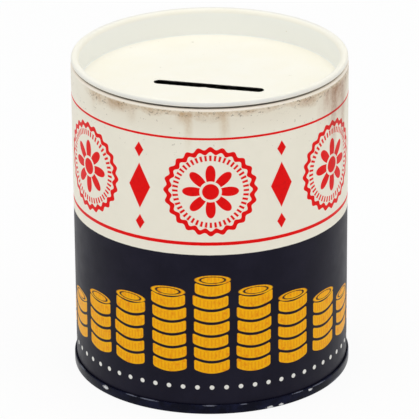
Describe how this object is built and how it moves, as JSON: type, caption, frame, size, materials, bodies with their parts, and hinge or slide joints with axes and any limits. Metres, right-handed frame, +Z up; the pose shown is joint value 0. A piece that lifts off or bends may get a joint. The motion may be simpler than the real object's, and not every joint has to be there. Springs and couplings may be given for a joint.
{
  "type": "tin money box",
  "caption": "Round printed tinplate money box with a seamed-on sunk base and a lift-off plug lid, its sunk panel punched with a coin slot.",
  "frame": {"origin": "middle of the foot, on the surface that the tin stands on", "axes": "+Z up along the can's axis, +X along the coin slot, -Y towards the front; the print faces 14.2 degrees to the right of -Y, and the lock seam is opposite"},
  "size_m": [0.085, 0.085, 0.1],
  "materials": {
    "printed_tin": "satin printed tinplate, cream over navy, worn and stained near the top",
    "base_enamel": "glossy navy enamel on tinplate, chipped along the bead",
    "lid_enamel": "satin ivory enamel on tinplate"
  },
  "bodies": {
    "can": {"body_wall": "printed_tin", "base_end": "base_enamel"},
    "lid": {"lid": "lid_enamel"}
  },
  "joints": [
    {"name": "lid_lift", "type": "slide", "parent": "can", "child": "lid", "axis": [0, 0, 1], "range_m": [0, 0.06]}
  ]
}
